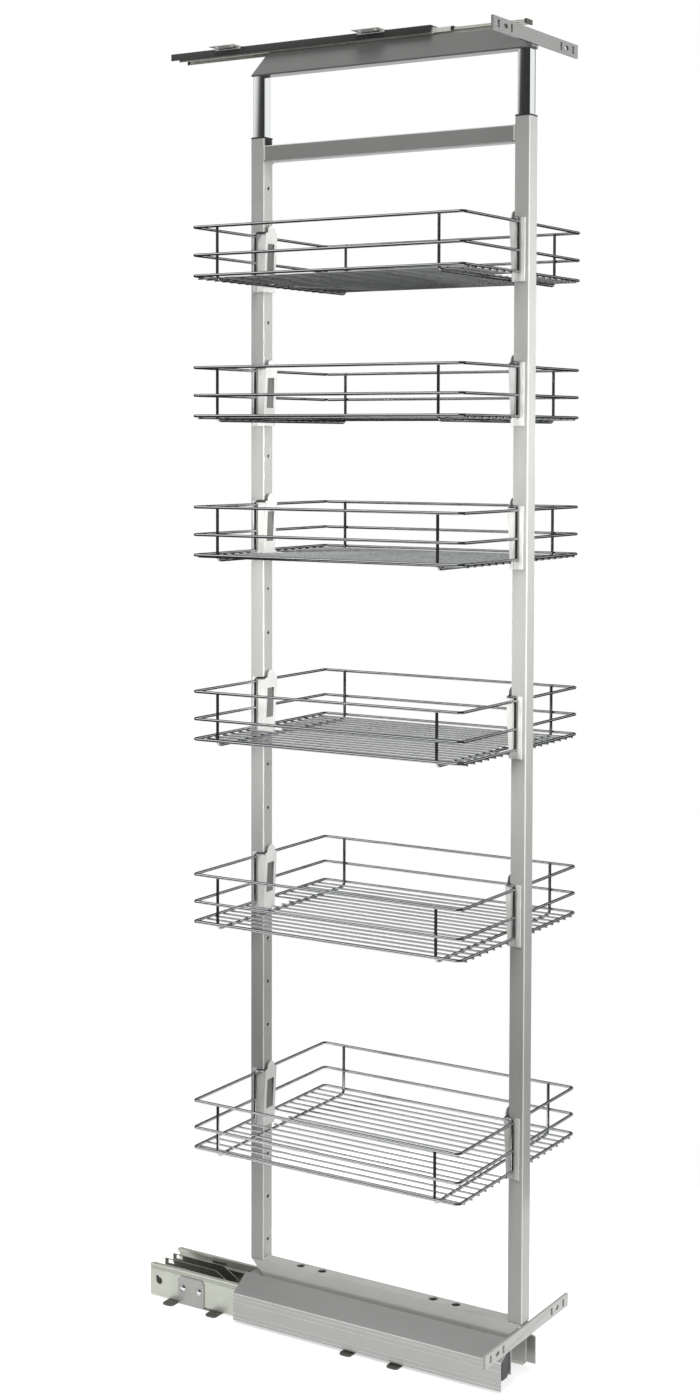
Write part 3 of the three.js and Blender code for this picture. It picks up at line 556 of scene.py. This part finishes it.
def uRail(sizes, closedAt, openAt):
    bm = bmesh.new()
    uSection(bm, sizes, closedAt, openAt)
    giveDepth(bm, bm.faces[:], (0, 2 * sizes["tip"], 0))
    bmesh.ops.translate(bm, verts=bm.verts, vec=(0, -sizes["tip"] * mm, 0))
    lean = 1 if openAt > closedAt else -1
    for end in (-1, 1):
        cutEnd = bmesh.ops.bisect_plane(
            bm, geom=everything(bm), dist=samePlace,
            plane_co=Vector((0, end * sizes["tip"], closedAt)) * mm,
            plane_no=(0, end, lean), clear_outer=True)
        rim = [e for e in cutEnd["geom_cut"] if isinstance(e, bmesh.types.BMEdge)]
        bmesh.ops.edgeloop_fill(bm, edges=rim)
    bmesh.ops.recalc_face_normals(bm, faces=bm.faces)
    return bm


def makeRails():
    bm = uRail(bottomRail, bottomRail["high"], bottomRail["low"])
    cutters = bmesh.new()
    for y in bottomRail["holes"]:
        addRod(cutters, "z", bottomRail["hole"] / 2, (0, y, bottomRail["high"]), bottomRail["drill"], 32)
    mesh = drilled(bm, cutters, "bottomRailFolded")
    dressMesh(mesh, "bottomRailFolded", "bottom_rail", [litRailPaint])
    bm = uRail(topChannel, topChannel["low"], topChannel["high"])
    # the top channel takes the darker copy of the coat, painted shade
    finishPiece(bm, "topChannelFolded", "top_channel", [shadedPaint])


makeRails()
print("rails made")


# telescoping chromed posts

innerPost = {"size": 20, "wall": 1.2, "corner": 1.8, "low": 1740, "high": 1978, "crown": 0.25}


def makeInnerPost(name, end):
    bm = bmesh.new()
    tubeFace(bm, innerPost["size"], innerPost["wall"], innerPost["corner"], innerPost["crown"])
    giveDepth(bm, bm.faces[:], (0, 0, innerPost["high"] - innerPost["low"]))
    bmesh.ops.translate(bm, verts=bm.verts, vec=Vector((0, end * post["middle"], innerPost["low"])) * mm)
    finishPiece(bm, name + "Tube", name, [chromedTube])


makeInnerPost("inner_post_rear", 1)
makeInnerPost("inner_post_front", -1)
print("inner posts made")


# parts that keep the solid's shape and get rounded or folded edges

edges = {   # radius and segments, and a finish where it isn't the slot's own
    "rear_post_glide": (0.5, 3), "front_post_glide": (0.5, 3),
    # the top door bracket's darker coat is painted shade
    "bottom_door_bracket": (0.35, 2), "top_door_bracket": (0.35, 2, shadedPaint),
    "top_middle_rail": (0.25, 2, brightZinc), "top_raceway": (0.35, 2, brightZinc),
    "top_fixed_rail": (0.4, 2), "runner_stop": (0.8, 3),
    "inner_rail_left": (0.4, 2), "inner_rail_right": (0.4, 2),
    "middle_rail_left": (0.4, 3), "middle_rail_right": (0.4, 3),
    "rear_catch_left": (0.4, 2), "rear_catch_right": (0.4, 2), "top_rail_stop": (0.6, 3),
}

for node, (radius, segments, *finishes) in edges.items():
    bm = mergedCopy(node)
    bevelEdges(bm, radius, segments)
    finishPiece(bm, node + "Rounded", node, finishes)
print("solids rounded:", len(edges))


# the top slide's inner rail, with a dark stop plate at its end, and the straps over the top rail

topRail = {"edge": 0.3, "stopPlateFrom": -235.3}
strap = {
    "middles": {"rear": 283, "front": 19}, "edge": 0.3, "window": 34, "windowDrops": (3.9, 1.9),
    "hook": 23.6, "reach": 1.6, "tab": 33, "hole": 2.7, "holes": 14, "drill": 6,
}


def makeTopRail():
    bm = mergedCopy("top_inner_rail")
    bevelEdges(bm, topRail["edge"], 2)
    paintFaces(bm, 1, lambda face: face.calc_center_median().y < topRail["stopPlateFrom"] * mm)
    finishPiece(bm, "top_inner_railRounded", "top_inner_rail", [brightZinc, surfaces["foot_steel"]])


def makeStrap(end, middle):
    # a window in each hook shows the rail behind, and each tab has two screw holes
    node = "top_bracket_" + end
    bm = mergedCopy(node)
    bevelEdges(bm, strap["edge"], 2)
    low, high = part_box(node)
    top = high[2] / mm
    sill, head = (top - drop for drop in strap["windowDrops"])
    half, reach = strap["window"] / 2, strap["reach"]
    cutters = bmesh.new()
    for side in (-1, 1):
        x = side * strap["hook"]
        addBlock(cutters, (x - reach, middle - half, sill), (x + reach, middle + half, head))
        for shift in (-strap["holes"], strap["holes"]):
            place = (side * strap["tab"], middle + shift, top)
            addRod(cutters, "z", strap["hole"], place, strap["drill"], 20)
    mesh = drilled(bm, cutters, node)
    # the straps' near-white zinc is a painted reflection
    dressMesh(mesh, node + "Pressed", node, [strapReflectionZinc])


makeTopRail()
for end, middle in strap["middles"].items():
    makeStrap(end, middle)
print("top slide made")


# the runner cover, with rounded ribs drawn along it, a painted highlight on the rib tips and the shoulder,
# and painted shade under the ribs

cover = {
    "ribs": (43, 36, 17, 10), "ribHalf": 0.8, "ribBase": 2.1, "ribTip": 0.9, "ribFrom": 0.4, "wall": 56.5,
    "edge": 0.3, "shoulder": 0.9, "shoulderX": 50, "shoulderZ": 48, "near": 0.05,
    "shoulderReach": 1, "shoulderFacing": (0.6, 0.98), "downFacing": -0.3, "shadeInside": 0.3, "shadeDrop": 2,
}


def makeCover():
    bm = mergedCopy("runner_cover")
    wall, top, near, down = cover["wall"], cover["shoulderZ"], cover["near"], cover["downFacing"]
    for vert in bm.verts:
        x, z = abs(vert.co.x) / mm, vert.co.z / mm
        for rib in cover["ribs"]:
            if x > wall - near and abs(abs(z - rib) - cover["ribHalf"]) < near:
                reach = cover["ribTip"] if x > wall + 2 * near else cover["ribBase"]
                vert.co.z = (rib + math.copysign(reach, z - rib)) * mm
                break

    def onShoulder(edge):
        return all(
            abs(v.co.z / mm - top) < 2 * near and abs(v.co.x) / mm > cover["shoulderX"] for v in edge.verts)

    def underRibShade(face):
        middle = face.calc_center_median() / mm
        onSide = abs(middle.x) > wall - cover["shadeInside"] and middle.z < top - cover["shadeDrop"]
        return onSide and face.normal.z < down

    def ridgeHighlight(face):
        # the ribs' tips and the rounded shoulder, which get a painted highlight
        middle = face.calc_center_median() / mm
        onRib = abs(middle.x) > wall + cover["ribFrom"] and face.normal.z > down
        reach, (least, most) = cover["shoulderReach"], cover["shoulderFacing"]
        rounded = least < abs(face.normal.x) < most and face.normal.z > 0
        return onRib or (rounded and abs(middle.z - top) < reach and abs(middle.x) > wall - reach)

    roundEdges(bm, [e for e in bm.edges if onShoulder(e)], cover["shoulder"], 3)
    bevelEdges(bm, cover["edge"], 2)
    paintFaces(bm, 2, underRibShade)
    paintFaces(bm, 1, ridgeHighlight)
    finishPiece(
        bm, "runner_coverExtruded", "runner_cover", [surfaces["anodised_aluminium"], ribHighlight, ribShade])


makeCover()
print("cover made")


# the fixed part of the runner: two folded channels, two pressed feet and the guide between them

channel = {
    "outer": 40, "top": 55.3, "rear": 428.5, "rearReach": 0.1, "edge": 0.5, "corner": 4,
    "folds": (50.6, 47.2), "foldHalf": 0.7, "foldDepth": 1.1,
    "punch": (410.5, 28.5), "punchRadius": 6, "nub": (414, 33.5), "nubRadius": 3.4, "drill": 6,
}
keyhole = {"behind": 0.95, "punchLength": 0.9, "nubLength": 0.7, "play": 0.1}   # its plug


def makeChannel(name, side):
    node = "base_channel_" + name
    bm = mergedCopy(node)
    outer = side * channel["outer"]

    def atRearCorner(edge):
        level = all(
            min(abs(v.co.z), abs(v.co.z - channel["top"] * mm)) < sameFace
            and v.co.y > (channel["rear"] - channel["rearReach"]) * mm
            for v in edge.verts)
        return level and abs(edge.verts[0].co.x - edge.verts[1].co.x) > mm

    roundEdges(bm, [e for e in bm.edges if atRearCorner(e)], channel["corner"], 4)
    bevelEdges(bm, channel["edge"], 2)
    for fold in channel["folds"]:
        for shift in (-channel["foldHalf"], 0, channel["foldHalf"]):
            bmesh.ops.bisect_plane(
                bm, geom=everything(bm), dist=hair,
                plane_co=(0, 0, (fold + shift) * mm), plane_no=(0, 0, 1))
        for vert in bm.verts:
            if abs(vert.co.z - fold * mm) < samePlace and abs(vert.co.x - outer * mm) < sameFace:
                vert.co.x -= side * channel["foldDepth"] * mm
    for hole, sides in (("nub", 20), ("punch", 24)):
        cutters = bmesh.new()
        addRod(cutters, "x", channel[hole + "Radius"], (outer, *channel[hole]), channel["drill"], sides)
        mesh = drilled(bm, cutters, node + hole)
        bm = bmesh.new()
        bm.from_mesh(mesh)
    finishPiece(bm, node + "Folded", node, sharp=26)
    makePlug(name, side)


def makePlug(name, side):
    # a black plug pressed into the punched keyhole
    bm = bmesh.new()
    middle = side * (channel["outer"] - keyhole["behind"])
    for hole, sides in (("punch", 24), ("nub", 20)):
        radius = channel[hole + "Radius"] - keyhole["play"]
        addRod(bm, "x", radius, (middle, *channel[hole]), keyhole[hole + "Length"], sides)
    mesh = meshFrom(bm, "punchPlug_" + name)
    mesh.materials.append(surfaces["black_plastic"])
    plug = addObject("punchPlug_" + name, mesh)
    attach(plug, "cabinet_runner")


foot = {
    "rivetY": {"rear_foot_plate": 345, "front_foot_plate": -9}, "rivetSpacing": 32, "rivetZ": 27,
    "rivetX": 41.8, "rivet": 5.6, "dome": 0.46,
    "edge": 0.4, "tip": 6, "tipFrom": 50, "flangeFrom": 39.6, "flangeAbove": 3,
}


def makeFoot(node):
    bm = mergedCopy(node)

    def atTip(edge):
        return (abs(edge.verts[0].co.z - edge.verts[1].co.z) > mm
                and all(abs(v.co.x) > foot["tipFrom"] * mm for v in edge.verts))

    def onFlange(face):
        middle = face.calc_center_median() / mm
        return abs(middle.x) > foot["flangeFrom"] and middle.z > foot["flangeAbove"]

    roundEdges(bm, [e for e in bm.edges if atTip(e)], foot["tip"], 5)
    bevelEdges(bm, foot["edge"], 2)
    # the flanges take the lighter zinc, painted light; the rest keeps the dark zinc, painted shade
    paintFaces(bm, 1, onFlange)
    addRivets(bm, foot["rivetY"][node])
    finishPiece(bm, node + "Pressed", node, [surfaces["foot_steel"], flangeLitZinc, surfaces["chrome"]])


def addRivets(bm, y):
    # low polished domes through each flange
    for side in (-1, 1):
        for shift in (-0.5, 0.5):
            place = Vector((side * foot["rivetX"], y + shift * foot["rivetSpacing"], foot["rivetZ"])) * mm
            dome = bmesh.ops.create_uvsphere(
                bm, u_segments=20, v_segments=12, radius=foot["rivet"] * mm,
                matrix=Matrix.Translation(place) @ Matrix.Diagonal((foot["dome"], 1, 1, 1)))
            for vert in dome["verts"]:
                for face in vert.link_faces:
                    face.material_index = 2


guide = {"edge": 0.3, "edgeFacing": 0.6, "baseTop": 6}


def makeGuide():
    # plates in the dark zinc, painted shade, with a painted highlight along their edges above the base
    bm = mergedCopy("guide_bracket")
    bevelEdges(bm, guide["edge"], 2)
    paintFaces(
        bm, 1, lambda face: abs(face.normal.x) < guide["edgeFacing"]
        and face.calc_center_median().z > guide["baseTop"] * mm)
    finishPiece(bm, "guide_bracketPressed", "guide_bracket", [surfaces["foot_steel"], edgeHighlightZinc])


makeChannel("left", -1)
makeChannel("right", 1)
makeFoot("rear_foot_plate")
makeFoot("front_foot_plate")
makeGuide()
print("runner made")


ringHeights = (1728, 1518, 1308, 1028, 748, 398)  # the top rings of the six baskets


# basket clips

clip = {"edge": 0.7, "segments": 3, "pocketHalf": 9.1, "pocketTop": -10.9, "pocketLow": -58.1}


def makeClips():
    for index in range(1, 7):
        for end in ("rear", "front"):
            node = "clip_%s_%d" % (end, index)
            bm = mergedCopy(node)
            bevelEdges(bm, clip["edge"], clip["segments"])
            low = (ringHeights[index - 1] + clip["pocketLow"]) * mm
            high = (ringHeights[index - 1] + clip["pocketTop"]) * mm
            # the pocket's faces take the darker plastic, painted shade where the recess lies in shadow
            paintFaces(bm, 1, lambda face: all(
                abs(v.co.x) < clip["pocketHalf"] * mm and low < v.co.z < high for v in face.verts))
            finishPiece(bm, node + "Moulded", node, [surfaces["grey_plastic"], pocketShade])


makeClips()
print("clips made")


# wire baskets

basket = {
    "wire": 4.5, "floorWire": 3, "halfWidth": 184.75, "halfDepth": 234.75, "corner": 6,
    "drops": (0, 41.7, 72.6), "upright": 19.5, "hookHalf": 14.5, "hookY": 218.8, "hookLift": 5, "hookBend": 4,
    "stirrupY": 191, "stirrupBend": 9, "floorPitch": 20.8, "floorEachSide": 8, "shortEach": 1, "shortPast": 4,
    "weld": 1.5, "sink": 0.4,
}


def ringRuns():
    radius = basket["wire"] / 2
    x, y = basket["halfWidth"] - radius, basket["halfDepth"] - radius
    runs = []
    for drop in basket["drops"]:
        for side in (-1, 1):
            start = side * basket["upright"]
            corners = [(start, -y, -drop), (side * x, -y, -drop), (side * x, y, -drop), (start, y, -drop)]
            runs.append(roundedPath(corners, basket["corner"], 8))
    return runs


def hookRuns():
    radius = basket["wire"] / 2
    y = basket["halfDepth"] - radius
    low = -basket["drops"][-1] - radius
    up, half, lift = basket["upright"], basket["hookHalf"], basket["hookLift"]
    runs = []
    for end in (-1, 1):
        back = end * basket["hookY"]
        corners = [
            (-up, end * y, low), (-up, end * y, lift), (-half, back, lift),
            (half, back, lift), (up, end * y, lift), (up, end * y, low)]
        runs.append(roundedPath(corners, basket["hookBend"], 5))
    return runs


def stirrupSizes():
    # the stirrups stand just inside the rings, and pass under the long floor wires
    radius = basket["wire"] / 2
    x = basket["halfWidth"] - 3 * radius + basket["sink"]
    floor = -basket["drops"][-1] - radius - basket["floorWire"]
    return x, floor - radius + basket["sink"]


def stirrupRuns():
    x, low = stirrupSizes()
    runs = []
    for y in (-basket["stirrupY"], basket["stirrupY"]):
        runs.append(roundedPath([(-x, y, 0), (-x, y, low), (x, y, low), (x, y, 0)], basket["stirrupBend"]))
    return runs


def floorRuns():
    radius, thin = basket["wire"] / 2, basket["floorWire"] / 2
    z = -basket["drops"][-1] - radius - thin + basket["sink"]
    runs = []
    for i in range(-basket["floorEachSide"], basket["floorEachSide"] + 1):
        short = abs(i) <= basket["shortEach"]
        reach = basket["stirrupY"] + basket["shortPast"] if short else basket["halfDepth"]
        x = i * basket["floorPitch"]
        runs.append([(x, -reach, z), (x, reach, z)])
    return runs


def addWelds(bm):
    # a small drop of metal at each crossing
    radius = basket["wire"] / 2
    x, low = stirrupSizes()
    y = basket["halfDepth"] - radius
    floor = -basket["drops"][-1] - radius
    spots = []
    for end in (-1, 1):
        for side in (-1, 1):
            for drop in basket["drops"]:
                spots.append((side * (x + radius), end * basket["stirrupY"], -drop))
                spots.append((side * basket["upright"], end * y, -drop))
        for i in range(-basket["floorEachSide"], basket["floorEachSide"] + 1):
            if abs(i) > basket["shortEach"]:
                spots.append((i * basket["floorPitch"], end * y, floor))
            spots.append((i * basket["floorPitch"], end * basket["stirrupY"], floor - basket["floorWire"]))
    for spot in spots:
        bmesh.ops.create_icosphere(
            bm, subdivisions=1, radius=basket["weld"] * mm, matrix=Matrix.Translation(Vector(spot) * mm))


def makeBaskets():
    bm = bmesh.new()
    bm.from_mesh(wireMesh(ringRuns() + hookRuns() + stirrupRuns(), basket["wire"] / 2, "basketFrame", 4))
    bm.from_mesh(wireMesh(floorRuns(), basket["floorWire"] / 2, "basketFloor", 3))
    addWelds(bm)
    for index, height in enumerate(ringHeights):
        copy = bm.copy()
        bmesh.ops.translate(copy, verts=copy.verts, vec=(0, 0, height * mm))
        node = "basket_%d" % (index + 1)
        finishPiece(copy, node + "Wires", node, sharp=50)
    bm.free()


makeBaskets()
print("baskets made")


# clamp screws for the height of the top part

screw = {
    "head": 5.5, "from": 12.8, "length": 5, "socket": 2.5, "depth": 2.6, "edge": 0.6,
    "shank": 3, "shankMiddle": 11.6, "shankLength": 2.6,
}


def makeScrew(name, end):
    y, z = end * post["middle"], post["screwZ"]
    bm = bmesh.new()
    addRod(bm, "x", screw["head"], (screw["from"] + screw["length"] / 2, y, z), screw["length"], 32)
    bevelEdges(bm, screw["edge"], 3)
    addRod(bm, "x", screw["shank"], (screw["shankMiddle"], y, z), screw["shankLength"], 24)
    cutters = bmesh.new()
    addRod(cutters, "x", screw["socket"], (screw["from"] + screw["length"], y, z), 2 * screw["depth"], 6)
    mesh = drilled(bm, cutters, name + "Head")
    dressMesh(mesh, name + "Head", name)


makeScrew("height_screw_rear", 1)
makeScrew("height_screw_front", -1)
print("screws made")


# floor, light and camera

camera = {
    "place": (-2.7285, -1.6621, 1.410), "target": (0, 0, 1.247), "roll": 0.20,
    "lens": 53.79, "sensor": 36, "shiftX": -0.0269, "shiftY": -0.1094, "far": 60,
}
studio = {
    "ambient": 0.28, "unlit": 0.04,
    "floor": "#cfcfcf", "floorRadius": 0.9, "floorDrop": 0.0002,
    "floorGlow": (0.62, 1.0), "glowFrom": 0.5, "glowTo": 1.25,
    "whites": (                             # direction, and the cosines where it fades in and is full
        ((0.85, 0.52, 0.01), 0.932, 0.966),     # the backdrop behind the unit
        ((0.845, -0.514, 0.15), 0.978, 0.990),  # a card at the right
        ((-0.557, 0.663, 0.5), 0.891, 0.927),   # a soft box high at the left
    ),
    "lamps": (                              # place, target, width, height, watts and spread in degrees
        ("front", (0.5, -3.8, 1.3), (0, 0, 0.9), 1.6, 2.6, 90, 180),
        ("strip", (-1.9, -3.1, 2.1), (0, 0, 1.6), 0.4, 1.8, 22, 180),
        ("key", (-3.2, -1.2, 6.5), (0, 0, 0.6), 2.6, 2.6, 350, 180),
        ("sideSpot", (-1.25, -0.05, 1.2), (0, 0.04, 1.2), 0.4, 0.4, 3.3, 58),
        ("frontSpot", (0.7, -1.9, 1.4), (0, -0.1, 1.4), 0.5, 0.5, 3.8, 48),
        ("lowSpot", (1.3, 0.5, 1.1), (0, 0, 0.08), 0.3, 0.3, 0.55, 40),
    ),
}


def addCamera():
    data = bpy.data.cameras.new("viewCamera")
    data.sensor_fit = "VERTICAL"
    data.sensor_height = camera["sensor"]
    data.lens = camera["lens"]
    data.shift_x = camera["shiftX"]
    data.shift_y = camera["shiftY"]
    data.clip_end = camera["far"]
    item = addObject("viewCamera", data)
    place = Vector(camera["place"])
    look = (Vector(camera["target"]) - place).to_track_quat("-Z", "Y")
    item.matrix_world = (
        Matrix.Translation(place) @ look.to_matrix().to_4x4()
        @ Matrix.Rotation(math.radians(camera["roll"]), 4, "Z"))
    bpy.context.scene.camera = item


def addLamps():
    for name, place, target, width, height, power, spread in studio["lamps"]:
        data = bpy.data.lights.new(name + "Softbox", "AREA")
        data.shape = "RECTANGLE"
        data.size = width
        data.size_y = height
        data.energy = power
        data.spread = math.radians(spread)
        item = addObject(name + "Softbox", data)
        aim = (Vector(target) - Vector(place)).to_track_quat("-Z", "Y")
        item.matrix_world = Matrix.Translation(Vector(place)) @ aim.to_matrix().to_4x4()
        # the lamps only lift the paint, and the chrome mirrors the pale and dark parts of the room
        item.visible_glossy = False


def lobe(tree, place, zone):
    # 1 towards a middle direction and 0 away from it, with a soft edge
    middle, low, high = zone
    facing = addNode(
        tree, "ShaderNodeVectorMath", {"operation": "DOT_PRODUCT", 1: Vector(middle).normalized()},
        {0: place.outputs["Generated"]})
    return addNode(
        tree, "ShaderNodeMapRange", {"From Min": low, "From Max": high, "interpolation_type": "SMOOTHSTEP"},
        {"Value": facing.outputs["Value"]})


def addWorld():
    # Soft ambient light, a white backdrop for the eye, and for reflections the same backdrop and
    # two white cards in an unlit studio, which is what gives bright wire its dark outline.
    world = bpy.data.worlds.new("studioWorld")
    bpy.context.scene.world = world
    world.use_nodes = True
    tree = world.node_tree
    tree.nodes.clear()
    out = addNode(tree, "ShaderNodeOutputWorld")
    path = addNode(tree, "ShaderNodeLightPath")
    place = addNode(tree, "ShaderNodeTexCoord")
    first, *others = [lobe(tree, place, zone).outputs["Result"] for zone in studio["whites"]]
    for other in others:
        first = addNode(tree, "ShaderNodeMath", {"operation": "MAXIMUM"}, {0: first, 1: other}).outputs[0]
    mirrored = addNode(
        tree, "ShaderNodeMapRange", {"To Min": studio["unlit"], "To Max": 1.0}, {"Value": first})
    mirror = addNode(
        tree, "ShaderNodeMath", {"operation": "MAXIMUM"},
        {0: path.outputs["Is Glossy Ray"], 1: path.outputs["Is Transmission Ray"]})
    glossy = addNode(tree, "ShaderNodeMix", {"data_type": "FLOAT", 2: studio["ambient"]},
                     {0: mirror.outputs[0], 3: mirrored.outputs["Result"]})
    seen = addNode(tree, "ShaderNodeMix", {"data_type": "FLOAT", 3: 1.0},
                   {0: path.outputs["Is Camera Ray"], 2: glossy.outputs[0]})
    light = addNode(tree, "ShaderNodeBackground", {"Color": (1, 1, 1, 1)}, {"Strength": seen.outputs[0]})
    tree.links.new(light.outputs[0], out.inputs["Surface"])


def addFloor():
    # painted board: pale and matt, with a glow for the eye that makes it white where it is lit
    tree, shader, material = newSurface(
        "paintedBoard",
        {"Base Color": toLinear(studio["floor"]), "Roughness": 0.9, "Emission Color": (1, 1, 1, 1)})
    place = addNode(tree, "ShaderNodeTexCoord")
    path = addNode(tree, "ShaderNodeLightPath")
    seen = addNode(
        tree, "ShaderNodeMath", {"operation": "MAXIMUM"},
        {0: path.outputs["Is Camera Ray"], 1: path.outputs["Is Glossy Ray"]})
    sight = addNode(
        tree, "ShaderNodeMath", {"operation": "MAXIMUM"},
        {0: seen.outputs[0], 1: path.outputs["Is Transmission Ray"]})
    away = addNode(tree, "ShaderNodeVectorMath", {"operation": "LENGTH"}, {0: place.outputs["Object"]})
    near, far = studio["floorGlow"]
    spread = addNode(
        tree, "ShaderNodeMapRange",
        {"From Min": studio["glowFrom"], "From Max": studio["glowTo"], "To Min": near, "To Max": far},
        {"Value": away.outputs["Value"]})
    glow = addNode(
        tree, "ShaderNodeMath", {"operation": "MULTIPLY"}, {0: sight.outputs[0], 1: spread.outputs["Result"]})
    tree.links.new(glow.outputs[0], shader.inputs["Emission Strength"])
    bm = bmesh.new()
    bmesh.ops.create_circle(bm, cap_ends=True, segments=64, radius=studio["floorRadius"])
    bmesh.ops.translate(bm, verts=bm.verts, vec=(0, 0, -studio["floorDrop"]))
    mesh = meshFrom(bm, "studioFloor")
    mesh.materials.append(material)
    floor = addObject("studioFloor", mesh)


addCamera()
addLamps()
addWorld()
addFloor()
bpy.context.scene.view_settings.view_transform = "Standard"
print("floor, light and camera made")
